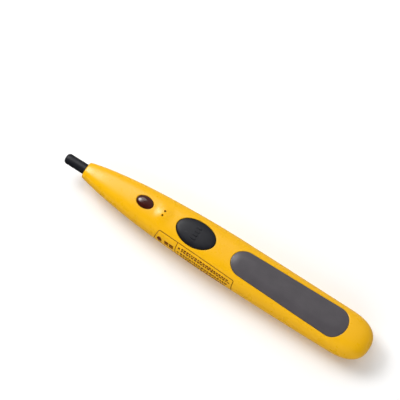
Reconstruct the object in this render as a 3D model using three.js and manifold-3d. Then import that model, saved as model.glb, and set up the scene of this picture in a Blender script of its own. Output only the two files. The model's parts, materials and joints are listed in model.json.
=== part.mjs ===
// Pen-shaped non-contact voltage tester, in millimetres.
// +X runs from the probe tip to the tail, +Z is up through the button, and the flat back lies on Z = 0.
import * as THREE from "three";
import { mergeVertices } from "three/addons/utils/BufferGeometryUtils.js";
import Module from "manifold-3d";

const wasm = await Module();
wasm.setup();

// ---------------------------------------------------------------- driving dimensions
const LENGTH = 146.8;
const PROBE_LENGTH = 9.4;
const TIP_X = -LENGTH / 2;
const NOSE_X = TIP_X + PROBE_LENGTH;
const TAIL_X = LENGTH / 2;
const AXIS_Z = 9.5; // height of the probe's axis over the flat back
const WALL = 1.5;
const NOSE_WALL = 5;
const SEAM_GAP = 0.12; // between the housing and the rear cover
const CUT_GAP = 0.15; // between a moving or inlaid piece and its opening

const LED_X = -33.9;
const BUZZER_X = -24.7;
const BUTTON_X = -9.1;
const FRONT_SCREW_X = -42;
const REAR_SCREW_X = 7;
const BOARD_SCREW_X = 2.5;
const COVER_X = NOSE_X + 9; // front edge of the rear cover
const DOOR_X = 13; // front edge of the battery cover

const BOARD_TOP = 8.5;
const BOARD_THICK = 1;
const ON_BOARD = BOARD_TOP + 0.05; // components sit a hair above the board

const AAA_RADIUS = 5.25;
const AAA_CAN = 43.7;
const BATTERY_X = 11.4; // shoulder of the positive end
const BATTERY_Z = 7.3;

const YELLOW = { color: 0xf7b500, roughness: 0.42, metalness: 0 };
const BLACK = { color: 0x26272b, roughness: 0.5, metalness: 0 };
const GREY = { color: 0x5b5a60, roughness: 0.6, metalness: 0 };
const METAL = { color: 0xc8c8c4, roughness: 0.3, metalness: 1 };
const BRASS = { color: 0xc7a24a, roughness: 0.3, metalness: 1 };
const CHIP = { color: 0x1b1b1d, roughness: 0.55, metalness: 0 };
const FERRITE = { color: 0x3b3b3d, roughness: 0.6, metalness: 0.2 };
const AMBER = { color: 0xc98a1e, roughness: 0.5, metalness: 0 };
const LENS_RED = { color: 0x3a0d10, roughness: 0.1, metalness: 0 };
const LED_RED = { color: 0xc41e1e, roughness: 0.15, metalness: 0 };
const BOARD_GREEN = { color: 0x1f6b3a, roughness: 0.45, metalness: 0 };
const IVORY = { color: 0xd8d4c8, roughness: 0.5, metalness: 0 };
const CELL_BLUE = { color: 0x2f5d8c, roughness: 0.35, metalness: 0.3 };

// ---------------------------------------------------------------- solids
function solidOf(geometry) {
  const bare = geometry.clone();
  bare.deleteAttribute("normal");
  bare.deleteAttribute("uv");
  const merged = mergeVertices(bare, 1e-4);
  const mesh = new wasm.Mesh({
    numProp: 3,
    vertProperties: new Float32Array(merged.attributes.position.array),
    triVerts: new Uint32Array(merged.index.array),
  });
  return new wasm.Manifold(mesh);
}

function geometryOf(solid) {
  const mesh = solid.getMesh();
  const geometry = new THREE.BufferGeometry();
  geometry.setAttribute("position", new THREE.BufferAttribute(mesh.vertProperties, 3));
  geometry.setIndex(new THREE.BufferAttribute(mesh.triVerts, 1));
  geometry.computeVertexNormals();
  return geometry;
}

const join = (...solids) => solids.reduce((a, b) => a.add(b));
const cut = (base, ...tools) => tools.reduce((a, b) => a.subtract(b), base);

function box([x0, x1], [y0, y1], [z0, z1]) {
  const geometry = new THREE.BoxGeometry(x1 - x0, y1 - y0, z1 - z0);
  return solidOf(geometry.translate((x0 + x1) / 2, (y0 + y1) / 2, (z0 + z1) / 2));
}

// An upright elliptical column.
function column(x, y, [z0, z1], a, b = a, sides = 24) {
  const geometry = new THREE.CylinderGeometry(1, 1, z1 - z0, sides);
  return solidOf(geometry.rotateX(Math.PI / 2).scale(a, b, 1).translate(x, y, (z0 + z1) / 2));
}

// A solid of revolution about a line along X, from [x, radius] points that start and end on the axis.
function turned(profile, z = AXIS_Z, sides = 24) {
  const points = profile.map(([x, r]) => new THREE.Vector2(r, x));
  const geometry = new THREE.LatheGeometry(points, sides);
  return solidOf(geometry.rotateZ(-Math.PI / 2).translate(0, 0, z));
}

// A solid of revolution about an upright line, from [radius, z] points that start and end on the axis.
function turnedUp(profile, x, y, sides = 24) {
  const points = profile.map(([r, z]) => new THREE.Vector2(r, z));
  const geometry = new THREE.LatheGeometry(points, sides);
  return solidOf(geometry.rotateX(Math.PI / 2).translate(x, y, 0));
}

const rod = (radius, [x0, x1], z = AXIS_Z, sides = 24) =>
  turned([[x0, 0], [x0, radius], [x1, radius], [x1, 0]], z, sides);

// A plan outline, symmetric about the X axis, raised from z0 to z1.
function plate(halfWidths, [z0, z1]) {
  const near = halfWidths.map(([x, y]) => new THREE.Vector2(x, -y));
  const far = halfWidths.map(([x, y]) => new THREE.Vector2(x, y)).reverse();
  const outline = [...near, ...far].filter((p, i, all) => i === 0 || p.distanceTo(all[i - 1]) > 1e-6);
  const shape = new THREE.Shape(outline);
  const geometry = new THREE.ExtrudeGeometry(shape, { depth: z1 - z0, bevelEnabled: false });
  return solidOf(geometry.translate(0, 0, z0));
}

// ---------------------------------------------------------------- body shape
// A monotone cubic through [x, value] knots, so that the skin has no ripples between them.
function smoothCurve(knots) {
  const n = knots.length;
  const slope = knots.slice(1).map(([x, v], i) => (v - knots[i][1]) / (x - knots[i][0]));
  const tangent = knots.map((_, i) => {
    if (i === 0) return slope[0];
    if (i === n - 1) return slope[n - 2];
    const [before, after] = [slope[i - 1], slope[i]];
    return before * after <= 0 ? 0 : (2 * before * after) / (before + after);
  });
  return (x) => {
    let i = 0;
    while (i < n - 2 && x > knots[i + 1][0]) i++;
    const [x0, v0] = knots[i];
    const [x1, v1] = knots[i + 1];
    const t = Math.min(1, Math.max(0, (x - x0) / (x1 - x0)));
    const h = (x1 - x0) * t * (1 - t);
    const blend = t * t * (3 - 2 * t);
    return v0 + (v1 - v0) * blend + h * ((1 - t) * tangent[i] - t * tangent[i + 1]);
  };
}

// Key sections: x, half width, then the heights of the top, the widest line and the flat back.
const SECTIONS = [
  [NOSE_X, 3.4, 12.8, 9.5, 6.2],
  [-61.5, 4.0, 13.3, 9.5, 5.7],
  [-58, 4.7, 13.75, 9.5, 5.15],
  [-52, 5.73, 14.4, 9.5, 4.35],
  [-44, 6.86, 14.95, 9.5, 3.35],
  [-36, 7.75, 15.35, 9.5, 2.4],
  [-26, 8.5, 15.55, 9.5, 1.35],
  [-12, 9.21, 15.6, 9.45, 0.3],
  [-2, 9.54, 15.6, 9.15, 0],
  [10, 9.66, 15.6, 8.6, 0],
  [22, 9.66, 15.35, 8.0, 0],
  [36, 9.6, 14.85, 7.6, 0],
  [50, 9.5, 14.5, 7.4, 0],
  [TAIL_X, 9.2, 14.1, 7.4, 0],
];
const [halfWidth, topZ, widestZ, backZ] = [1, 2, 3, 4].map((k) =>
  smoothCurve(SECTIONS.map((row) => [row[0], row[k]])),
);
const SQUARENESS = 2.6; // exponent of the superellipse section
const BELLY = 0.5; // how far the section's curve dips under the flat back
const NOSE_RADIUS = 0.6;
const TAIL_ROUND = 14; // length of the rounded tail
const TAIL_SQUARENESS = 2.5;
const TAIL_MID_Z = 7.2; // the height that the rounded tail closes towards
const TAIL_START = TAIL_X - TAIL_ROUND;

// How far the section has closed at x: 1 up to the rounded tail, 0 at its end.
function tailShrink(x, offset) {
  const along = Math.min(1, Math.max(0, (x - TAIL_START) / (TAIL_ROUND + offset)));
  return (1 - along ** TAIL_SQUARENESS) ** (1 / TAIL_SQUARENESS);
}

// The section at x, grown by an offset.
function bodyAt(x, offset) {
  const fromNose = Math.min(NOSE_RADIUS, Math.max(0, x - NOSE_X));
  const rounding = NOSE_RADIUS - Math.sqrt(NOSE_RADIUS ** 2 - (NOSE_RADIUS - fromNose) ** 2);
  const grow = offset - rounding;
  const shrink = tailShrink(x, offset);
  const towardsMid = (z) => TAIL_MID_Z + (z - TAIL_MID_Z) * shrink;
  return {
    half: (halfWidth(x) + grow) * shrink,
    top: towardsMid(topZ(x) + grow),
    widest: towardsMid(widestZ(x)),
    back: towardsMid(backZ(x) - grow),
    belly: BELLY * shrink,
  };
}

// Height of the upper skin over the point (x, y).
function skinZ(x, y, offset = 0) {
  const { half, top, widest } = bodyAt(x, offset);
  const inside = Math.max(0, 1 - (Math.abs(y) / half) ** SQUARENESS);
  return widest + (top - widest) * inside ** (1 / SQUARENESS);
}

// Points round the section, from its +Y side up over the top.
function ring(x, offset, count) {
  const { half, top, widest, back, belly } = bodyAt(x, offset);
  return Array.from({ length: count }, (_, i) => {
    const angle = (2 * Math.PI * i) / count;
    const c = Math.cos(angle);
    const s = Math.sin(angle);
    const y = half * Math.sign(c) * Math.abs(c) ** (2 / SQUARENESS);
    const reach = Math.abs(s) ** (2 / SQUARENESS);
    const z = s >= 0 ? widest + (top - widest) * reach : widest - (widest - back + belly) * reach;
    return new THREE.Vector3(x, y, Math.max(z, back));
  });
}

// A solid skinned over rings of equal count that follow each other along +X, closed by a fan at each end.
function skinned(rings) {
  const count = rings[0].length;
  const centre = (points) =>
    points.reduce((sum, p) => sum.add(p), new THREE.Vector3()).divideScalar(points.length);
  const points = [...rings.flat(), centre(rings[0]), centre(rings.at(-1))];
  const [first, last] = [points.length - 2, points.length - 1];
  const end = (rings.length - 1) * count;
  const faces = [];
  for (let i = 0; i < count; i++) {
    const j = (i + 1) % count;
    faces.push(first, j, i, last, end + i, end + j);
    for (let r = 0; r < end; r += count) {
      faces.push(r + i, r + j, r + count + j, r + i, r + count + j, r + count + i);
    }
  }
  const geometry = new THREE.BufferGeometry().setFromPoints(points);
  geometry.setIndex(faces);
  return solidOf(geometry);
}

// The body's outer form, grown or shrunk by an offset, from one x to another or to the round tail.
function bodyForm(offset, steps, count, from = NOSE_X, to = TAIL_X + offset) {
  const straight = Array.from({ length: steps }, (_, i) => from + ((TAIL_START - from) * i) / steps);
  const tailSteps = 7;
  const round = Array.from({ length: tailSteps + 1 }, (_, i) => {
    const turn = (i / (tailSteps + 0.35)) * (Math.PI / 2); // stops just short of the last point
    return TAIL_START + (to - TAIL_START) * Math.sin(turn);
  });
  const lead = from === NOSE_X ? [0.12, 0.4].map((share) => NOSE_X + NOSE_RADIUS * share) : [];
  const xs = [straight[0], ...lead, ...straight.slice(1), ...round];
  return skinned(xs.map((x) => ring(x, offset, count)));
}

const RINGS = 22;
const RING_POINTS = 32;
const outerForm = bodyForm(0, RINGS, RING_POINTS);
const innerForm = bodyForm(-WALL, 12, 24, NOSE_X + NOSE_WALL);
const wallForm = bodyForm(0.2 - WALL, 12, 24, NOSE_X + NOSE_WALL);

// The line where the rear cover meets the housing. At the tail it rises with the rounding.
const sideSeamZ = smoothCurve([[COVER_X, 6.3], [-30, 5.7], [0, 4.9], [36, 4], [TAIL_X, 4]]);
const seamZ = (x) => TAIL_MID_Z + (sideSeamZ(x) - TAIL_MID_Z) * tailShrink(x, 0);

// Everything under that line, grown by a gap.
function belowSeam(gap) {
  const far = TAIL_X + 2;
  const front = COVER_X - gap;
  const steps = 9;
  const along = Array.from({ length: steps }, (_, i) => front + ((TAIL_START - front) * i) / steps);
  const round = [0, 0.3, 0.55, 0.75, 0.88, 0.95, 1].map((share) => TAIL_START + TAIL_ROUND * share);
  const shape = new THREE.Shape();
  shape.moveTo(far, -2);
  shape.lineTo(far, TAIL_MID_Z + gap);
  for (const x of [...along, ...round].reverse()) {
    shape.lineTo(x, seamZ(x) + gap);
  }
  shape.lineTo(front, -2);
  const depth = 30;
  const geometry = new THREE.ExtrudeGeometry(shape, { depth, bevelEnabled: false });
  return solidOf(geometry.rotateX(Math.PI / 2).translate(0, depth / 2, 0));
}

// ---------------------------------------------------------------- grip pad outline
const PAD_FRONT = 8.35;
const PAD_END = 62;
const PAD_NOSE = 5.9; // length of the rounded front end
const padHalf = smoothCurve([[PAD_FRONT, 5.15], [20, 5.7], [32, 6.2], [PAD_END, 6.5]]);
const PAD_DEPTH = 0.7;
const PAD_PROUD = 0.45;
const PAD_PEGS = [22, 44];
const PEG_RADIUS = 1;

function padOutline(gap) {
  const steps = 7;
  const halfAt = (x) => padHalf(x) + gap;
  const quarter = Array.from({ length: steps + 1 }, (_, i) => ((i / steps) * Math.PI) / 2);
  const front = quarter.map((a) => {
    const x = PAD_FRONT - gap + PAD_NOSE * (1 - Math.cos(a));
    return [x, halfAt(x) * Math.sin(a)];
  });
  const end = quarter.map((a) => {
    const x = PAD_END + gap - PAD_NOSE * (1 - Math.sin(a));
    return [x, halfAt(x) * Math.cos(a)];
  });
  return [...front, ...end];
}

// ---------------------------------------------------------------- housing
const LED_WINDOW = [3.95, 2.7];
const BUTTON_SIZE = [8.8, 5.55];
const BUTTON_HOLE = BUTTON_SIZE.map((r) => r + 0.2);
const SOUND_HOLES = [-1.02, 1.02];
const SOUND_HOLE_RADIUS = 0.45;
const MOUND_RADIUS = 4; // the low mound that the sound holes open in
const MOUND_HEIGHT = 0.5;
const MOUND_ROOT = 0.35; // how far its rim sinks below the skin's crown
const BOSS_RADIUS = 2.1;
const SCREW_CORE = 1.1;
const PROBE_RADIUS = 2.3;
const FRONT_SEAT_TOP = 5.9; // where the rear cover's screw seats end
const REAR_SEAT_TOP = 5;
const BATTERY_RIBS = [26, 42];
const FRONT_BULKHEAD = [9.4, 10.1];
const REAR_BULKHEAD = [61.1, 62.3];
const WIRE_LANE = [[-9, -6], [6.3, 8.7]]; // y and z of the lead's passage past the ribs

// A screw boss that hangs from the top.
function boss(x, bottom, radius = BOSS_RADIUS) {
  return column(x, 0, [bottom, skinZ(x, 0) - WALL / 2], radius);
}

// The low round swelling over the buzzer: the cap of a ball, sunk into the skin.
function mound() {
  const drop = MOUND_HEIGHT + MOUND_ROOT;
  const radius = (MOUND_RADIUS ** 2 + drop ** 2) / (2 * drop);
  const crown = skinZ(BUZZER_X, 0) + MOUND_HEIGHT;
  const geometry = new THREE.SphereGeometry(radius, 36, 30).rotateX(Math.PI / 2);
  const ball = solidOf(geometry.translate(BUZZER_X, 0, crown - radius));
  return ball.intersect(column(BUZZER_X, 0, [crown - drop - 0.3, crown + 1], MOUND_RADIUS));
}

// A cross wall that fills the hollow between two x, above a height.
function crossWall([x0, x1], bottom) {
  return box([x0, x1], [-12, 12], [bottom, 20]).intersect(wallForm);
}

function makeHousing() {
  const skin = cut(outerForm, innerForm);
  const retainer = crossWall([-57.2, -56.2], AXIS_Z);
  const ribs = BATTERY_RIBS.map((x) => crossWall([x, x + 1.2], BATTERY_Z));
  const bulkheads = [crossWall(FRONT_BULKHEAD, 5.2), crossWall(REAR_BULKHEAD, 5.2)];
  const bosses = [
    boss(FRONT_SCREW_X, FRONT_SEAT_TOP + 0.2),
    boss(REAR_SCREW_X, REAR_SEAT_TOP + 0.1),
    boss(BOARD_SCREW_X, ON_BOARD, 1.9),
  ];
  const whole = join(skin, mound(), retainer, ...ribs, ...bulkheads, ...bosses);
  const underPad = bodyForm(-PAD_DEPTH - CUT_GAP, RINGS, RING_POINTS);
  const padBed = cut(plate(padOutline(CUT_GAP), [8, 20]), underPad);
  const holes = [
    belowSeam(SEAM_GAP / 2),
    rod(PROBE_RADIUS + CUT_GAP, [NOSE_X - 1, NOSE_X + NOSE_WALL + 1]),
    rod(1.1, [-58, -55]),
    column(LED_X, 0, [12, 20], ...LED_WINDOW, 28),
    column(BUTTON_X, 0, [12.2, 20], ...BUTTON_HOLE, 36),
    ...SOUND_HOLES.map((y) => column(BUZZER_X, y, [12, 18], SOUND_HOLE_RADIUS, SOUND_HOLE_RADIUS, 12)),
    padBed,
    ...PAD_PEGS.map((x) => column(x, 0, [12, 18], PEG_RADIUS + CUT_GAP)),
    rod(AAA_RADIUS + 0.2, [BATTERY_X - 0.3, BATTERY_X + AAA_CAN + 0.3], BATTERY_Z, 32),
    box([5, 65], ...WIRE_LANE),
    box([8, 11], [3.2, 5.6], [8.4, 9.1]),
    column(FRONT_SCREW_X, 0, [5, 11.5], SCREW_CORE),
    column(REAR_SCREW_X, 0, [4, 12.5], SCREW_CORE),
    column(BOARD_SCREW_X, 0, [7, 13], SCREW_CORE),
  ];
  return cut(whole, ...holes);
}

// ---------------------------------------------------------------- rear cover and battery cover
const DOOR_HALF = 6;
const DOOR_THICK = 1.9;
const RAIL_OUT = 6.6;
const RAIL_IN = 4.8;
const RAIL_TOP = 2.5;
const RAIL_LEAD = 1.2; // how far the rails hook over the floor in front
const HEAD_RADIUS = 1.9;
const HEAD_DEPTH = 1.2;
const HEAD_SINK = 0.2;
const LABEL_BED = [-34, -6]; // shallow bed for a rating label, along X
const LABEL_HALF = 4.6;
const LABEL_DEPTH = 0.3;
const GROOVES = 6; // finger grooves in the battery cover
const GROOVE_PITCH = 1.9;

// The battery cover before it takes the body's outer form: a leaf with a rail along each side.
function doorForm(gap) {
  const far = TAIL_X + 4;
  const rail = [DOOR_THICK - 0.05 - gap, RAIL_TOP + gap];
  const sides = [-1, 1].map((side) => {
    const [a, b] = [side * (RAIL_IN - gap), side * (RAIL_OUT + gap)];
    return box([DOOR_X - RAIL_LEAD - gap, far], [Math.min(a, b), Math.max(a, b)], rail);
  });
  const leaf = box([DOOR_X - gap, far], [-DOOR_HALF - gap, DOOR_HALF + gap], [-1, DOOR_THICK + gap / 3]);
  return join(leaf, ...sides);
}

// A post on the rear cover's floor that carries a screw.
function screwSeat(x, top) {
  return column(x, 0, [backZ(x) + WALL / 2, top], 2.7).intersect(outerForm);
}

function screwHole(x, top) {
  const under = backZ(x);
  return join(
    column(x, 0, [under - 1, under + HEAD_SINK + HEAD_DEPTH + CUT_GAP], HEAD_RADIUS + CUT_GAP),
    column(x, 0, [under, top + 1], SCREW_CORE + 0.1),
  );
}

function makeRearCover() {
  const skin = cut(outerForm, innerForm).intersect(belowSeam(-SEAM_GAP / 2));
  const seats = [screwSeat(FRONT_SCREW_X, FRONT_SEAT_TOP), screwSeat(REAR_SCREW_X, REAR_SEAT_TOP)];
  const [labelFront, labelEnd] = LABEL_BED;
  const label = plate([[labelFront, LABEL_HALF], [labelEnd, LABEL_HALF]], [-1, BOARD_TOP - 3]);
  return cut(
    join(skin, ...seats),
    screwHole(FRONT_SCREW_X, FRONT_SEAT_TOP),
    screwHole(REAR_SCREW_X, REAR_SEAT_TOP),
    doorForm(CUT_GAP),
    cut(label, bodyForm(-LABEL_DEPTH, RINGS, RING_POINTS)),
  );
}

function makeBatteryCover() {
  const leaf = doorForm(0).intersect(outerForm);
  const grooves = Array.from({ length: GROOVES }, (_, i) => {
    const x = DOOR_X + 5 + GROOVE_PITCH * i;
    return box([x, x + 0.9], [-4.2, 4.2], [-1, 0.4]);
  });
  const corners = [[33, -2.4], [37.5, 0], [33, 2.4]];
  const arrow = new THREE.Shape(corners.map(([x, y]) => new THREE.Vector2(x, y)));
  const arrowCut = new THREE.ExtrudeGeometry(arrow, { depth: 1.3, bevelEnabled: false });
  return cut(leaf, ...grooves, solidOf(arrowCut.translate(0, 0, -1)));
}

// ---------------------------------------------------------------- pieces in the housing's top
function makeGripPad() {
  const above = bodyForm(PAD_PROUD, RINGS, RING_POINTS);
  const slab = cut(above, bodyForm(-PAD_DEPTH, RINGS, RING_POINTS));
  const pad = slab.intersect(plate(padOutline(0), [8, 20]));
  const pegs = PAD_PEGS.map((x) => {
    const skin = skinZ(x, 0);
    return column(x, 0, [skin - WALL, skin - PAD_DEPTH / 2], PEG_RADIUS);
  });
  return join(pad, ...pegs);
}

const LENS_HEIGHT = 1.2;
function makeLens() {
  const [a, b] = LED_WINDOW.map((r) => r - 0.1);
  const level = skinZ(LED_X, 0) - 0.3;
  const egg = new THREE.SphereGeometry(1, 24, 12).rotateX(Math.PI / 2).scale(a, b, LENS_HEIGHT);
  const above = box([LED_X - 9, LED_X + 9], [-9, 9], [level - 0.05, 20]);
  const head = solidOf(egg.translate(LED_X, 0, level)).intersect(above);
  const neck = column(LED_X, 0, [12.7, level], a, b, 24);
  const flange = column(LED_X, 0, [12.6, 13.2], a + 0.8, b + 0.75, 24);
  const hollow = column(LED_X, 0, [12, 14.5], a - 1.1, b - 1.1, 20);
  return cut(join(head, neck, flange), hollow);
}

const PLUNGER_TOP = 12.8;
const BUTTON_CROWN = 1.15; // height of the domed top
const BUTTON_MARKS = [-2.4, -0.8, 0.8, 2.4]; // y of the bars to feel for
// The dome's profile, as shares of the half width and of the crown.
const BUTTON_DOME = [[1, 0], [0.995, 0.3], [0.97, 0.52], [0.9, 0.7], [0.72, 0.86], [0.4, 0.97], [0, 1]];

function makeButton() {
  const [a, b] = BUTTON_SIZE;
  const level = skinZ(BUTTON_X, 0) - 0.35;
  const dome = BUTTON_DOME.map(([r, h]) => new THREE.Vector2(r, level + BUTTON_CROWN * h));
  const profile = [new THREE.Vector2(0, 12.1), new THREE.Vector2(1, 12.1), ...dome];
  const geometry = new THREE.LatheGeometry(profile, 36).rotateX(Math.PI / 2).scale(a, b, 1);
  const cap = solidOf(geometry.translate(BUTTON_X, 0, 0));
  const lip = column(BUTTON_X, 0, [11.6, 12.2], a + 0.7, b + 0.7, 32);
  const hollow = column(BUTTON_X, 0, [11, 14.6], a - 1.4, b - 1.4, 24);
  const stem = column(BUTTON_X, 0, [PLUNGER_TOP + 0.05, 14.8], 1.6, 1.6, 16);
  const marks = BUTTON_MARKS.map((y) => {
    const top = level + BUTTON_CROWN + 0.15;
    return box([BUTTON_X - 1.1, BUTTON_X + 1.1], [y - 0.32, y + 0.32], [top - 0.8, top]);
  });
  return join(cut(join(cap, lip), hollow), stem, ...marks);
}

// ---------------------------------------------------------------- probe
const TIP_ROUND = 1.3;
const FLANGE_RADIUS = 2.6; // holds the sleeve in behind the nose
function makeProbe() {
  const corner = [4, 3, 2, 1, 0].map((i) => {
    const a = (i / 4) * (Math.PI / 2);
    return [TIP_X + TIP_ROUND * (1 - Math.sin(a)), PROBE_RADIUS - TIP_ROUND * (1 - Math.cos(a))];
  });
  return turned([
    [TIP_X, 0],
    ...corner,
    [-58.8, PROBE_RADIUS],
    [-58.8, FLANGE_RADIUS],
    [-57.5, FLANGE_RADIUS],
    [-57.5, 0.95],
    [TIP_X + 2, 0.95],
    [TIP_X + 2, 0],
  ]);
}

const PIN_RADIUS = 0.8;
const makePin = () => rod(PIN_RADIUS, [TIP_X + 2.2, -48.6], AXIS_Z, 16);

function makePinHolder() {
  const block = box([-52, -49], [-1.6, 1.6], [ON_BOARD, 10.5]);
  const bore = rod(PIN_RADIUS + 0.08, [-53, -48], AXIS_Z, 16);
  const mouth = box([-53, -48], [-0.5, 0.5], [AXIS_Z, 11]);
  return cut(block, bore, mouth);
}

// ---------------------------------------------------------------- circuit board
const LED_LEGS = [-1.27, 1.27];
const LED_SEAT = 9.3;

function makeBoard() {
  const outline = [[-54, 3.1], [-42, 4.7], [-26, 6.1], [-6, 6.9], [4.4, 6.9]];
  const slab = plate(outline, [BOARD_TOP - BOARD_THICK, BOARD_TOP]);
  const hole = (x, y, radius) => column(x, y, [7, 9], radius, radius, 20);
  return cut(
    slab,
    hole(FRONT_SCREW_X, 0, BOSS_RADIUS + 0.25),
    hole(BOARD_SCREW_X, 0, SCREW_CORE + 0.1),
    ...LED_LEGS.map((y) => hole(LED_X, y, 0.42)),
  );
}

function makeLed() {
  const radius = 1.5;
  const dome = [0, 1, 2, 3, 4].map((i) => {
    const a = (i / 4) * (Math.PI / 2);
    return [radius * Math.cos(a), LED_SEAT + 3 + radius * Math.sin(a)];
  });
  const rim = [[0, LED_SEAT], [1.9, LED_SEAT], [1.9, LED_SEAT + 1], [radius, LED_SEAT + 1]];
  return turnedUp([...rim, ...dome], LED_X, 0, 20);
}

function makeBuzzer() {
  const top = ON_BOARD + 3.8;
  const radius = 4.5;
  const can = [[0, ON_BOARD], [radius, ON_BOARD], [radius, top - 0.3], [radius - 0.3, top]];
  const mouth = [[0.9, top], [0.9, top - 1], [0, top - 1]];
  return turnedUp([...can, ...mouth], BUZZER_X, 0, 28);
}

function makeBrick(x, y, [length, width, height], base = ON_BOARD) {
  return box([x - length / 2, x + length / 2], [y - width / 2, y + width / 2], [base, base + height]);
}

// A chip with rows of legs along both of its long sides.
function makeChip(x, y, [length, width, height], pins) {
  const body = makeBrick(x, y, [length, width, height - 0.1], ON_BOARD + 0.1);
  const pitch = length / pins;
  const legs = Array.from({ length: pins }, (_, i) => {
    const at = x - length / 2 + pitch * (i + 0.5);
    const reach = width / 2 + 0.8;
    return box([at - 0.2, at + 0.2], [y - reach, y + reach], [ON_BOARD, ON_BOARD + 0.35]);
  });
  return join(body, ...legs);
}

function makeSwitch() {
  const base = makeBrick(BUTTON_X, 0, [6, 6, 3.45]);
  return cut(base, column(BUTTON_X, 0, [10, 13], 1.85, 1.85, 20));
}
const makePlunger = () => column(BUTTON_X, 0, [11, PLUNGER_TOP], 1.7, 1.7, 20);

// ---------------------------------------------------------------- power
const NUB_RADIUS = 1.9;
const SPRING_END = 60.6;
const BATTERY_BACK = BATTERY_X + AAA_CAN;

function makeCell() {
  const edge = 0.4;
  return turned(
    [
      [BATTERY_X, 0],
      [BATTERY_X, AAA_RADIUS - edge],
      [BATTERY_X + edge, AAA_RADIUS],
      [BATTERY_BACK - edge, AAA_RADIUS],
      [BATTERY_BACK, AAA_RADIUS - edge],
      [BATTERY_BACK, 0],
    ],
    BATTERY_Z,
    32,
  );
}
const makeNub = () => rod(NUB_RADIUS, [BATTERY_X - 0.8, BATTERY_X - 0.02], BATTERY_Z, 20);

function makePositiveContact() {
  const upright = box([10.2, 10.5], [-4, 5.4], [3.4, 11]);
  const tab = box([1, 10.4], [3.4, 5.4], [ON_BOARD + 0.05, ON_BOARD + 0.35]);
  return join(upright, tab);
}

// A conical coil: small turns against the cell, wide turns on the plate.
function makeSpring() {
  const turns = 4.5;
  const wire = 0.32;
  const from = BATTERY_BACK + 0.1 + wire;
  const to = SPRING_END - wire;
  const steps = 56;
  const centreline = Array.from({ length: steps + 1 }, (_, i) => {
    const share = i / steps;
    const angle = share * turns * 2 * Math.PI;
    const radius = 1.5 + 2 * share;
    return new THREE.Vector3(
      from + (to - from) * share,
      radius * Math.cos(angle),
      BATTERY_Z + radius * Math.sin(angle),
    );
  });
  return sweep(centreline, wire, steps, 6);
}

// A round bar along a smooth line through the given points.
function sweep(points, radius, steps, sides) {
  const section = new THREE.Shape();
  for (let i = 0; i < sides; i++) {
    const a = (2 * Math.PI * i) / sides;
    section[i ? "lineTo" : "moveTo"](radius * Math.cos(a), radius * Math.sin(a));
  }
  const extrudePath = new THREE.CatmullRomCurve3(points);
  return solidOf(new THREE.ExtrudeGeometry(section, { steps, extrudePath, bevelEnabled: false }));
}

function makeNegativePlate() {
  const upright = box([SPRING_END + 0.1, SPRING_END + 0.4], [-7.4, 4.4], [6.6, 11.2]);
  const corner = box([60, 62], [-8, -5.6], [8.2, 12]);
  return cut(upright, corner);
}

// The insulated lead from the negative plate, past the cell's side, to the board.
function makeLead() {
  const route = [
    [60.4, -6.9, 7.4],
    [54, -6.95, 7.5],
    [32, -6.95, 7.5],
    [12, -6.95, 7.6],
    [7, -6.5, 8.6],
    [4.4, -5.8, 9.25],
    [1, -5.1, 9.25],
  ];
  return sweep(route.map((p) => new THREE.Vector3(...p)), 0.6, 26, 8);
}

// ---------------------------------------------------------------- screws
// A pan-head screw driven upwards, with a cross recess in its head.
function makeScrew(x, head, length, headRadius = HEAD_RADIUS) {
  const shank = 0.95;
  const body = turnedUp(
    [
      [0, head],
      [headRadius - 0.3, head],
      [headRadius, head + 0.3],
      [headRadius, head + HEAD_DEPTH],
      [shank, head + HEAD_DEPTH],
      [shank, head + length - 0.8],
      [0, head + length],
    ],
    x,
    0,
    20,
  );
  const slot = (a, b) => box([x - a, x + a], [-b, b], [head - 1, head + 0.6]);
  return cut(body, slot(1.1, 0.22), slot(0.22, 1.1));
}

// ---------------------------------------------------------------- the assembly
const tester = new THREE.Group();

function add(name, solid, look) {
  const mesh = new THREE.Mesh(geometryOf(solid), new THREE.MeshStandardMaterial(look));
  mesh.name = name;
  tester.add(mesh);
}

add("housing", makeHousing(), YELLOW);
add("rear_cover", makeRearCover(), YELLOW);
add("battery_cover", makeBatteryCover(), YELLOW);
add("grip_pad", makeGripPad(), GREY);
add("led_lens", makeLens(), LENS_RED);
add("test_button", makeButton(), BLACK);

add("probe_sleeve", makeProbe(), BLACK);
add("antenna_pin", makePin(), BRASS);
add("antenna_contact", makePinHolder(), METAL);

add("circuit_board", makeBoard(), BOARD_GREEN);
add("detection_led", makeLed(), LED_RED);
LED_LEGS.forEach((y, i) =>
  add(`led_leg_${i + 1}`, column(LED_X, y, [7.1, LED_SEAT - 0.05], 0.25, 0.25, 8), METAL),
);
add("buzzer", makeBuzzer(), CHIP);
add("switch_base", makeSwitch(), CHIP);
add("switch_plunger", makePlunger(), IVORY);
add("control_chip", makeChip(-16.6, 0, [4.9, 3.9, 1.5], 4), CHIP);
add("amplifier_chip", makeChip(-46.4, 0, [2.9, 1.7, 1.1], 3), CHIP);
add("boost_inductor", makeBrick(-3.4, 3.9, [4, 4, 2.1]), FERRITE);
add("filter_capacitor", makeBrick(-3.4, -3.9, [3.5, 2.8, 1.9]), AMBER);
[[-38.4, -3.2], [-38.4, 3.2], [-15.8, 5]].forEach(([x, y], i) =>
  add(`chip_resistor_${i + 1}`, makeBrick(x, y, [1.6, 0.8, 0.5]), CHIP),
);

add("battery_cell", makeCell(), CELL_BLUE);
add("battery_terminal", makeNub(), METAL);
add("positive_contact", makePositiveContact(), METAL);
add("negative_spring", makeSpring(), METAL);
add("negative_plate", makeNegativePlate(), METAL);
add("negative_lead", makeLead(), CHIP);

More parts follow.
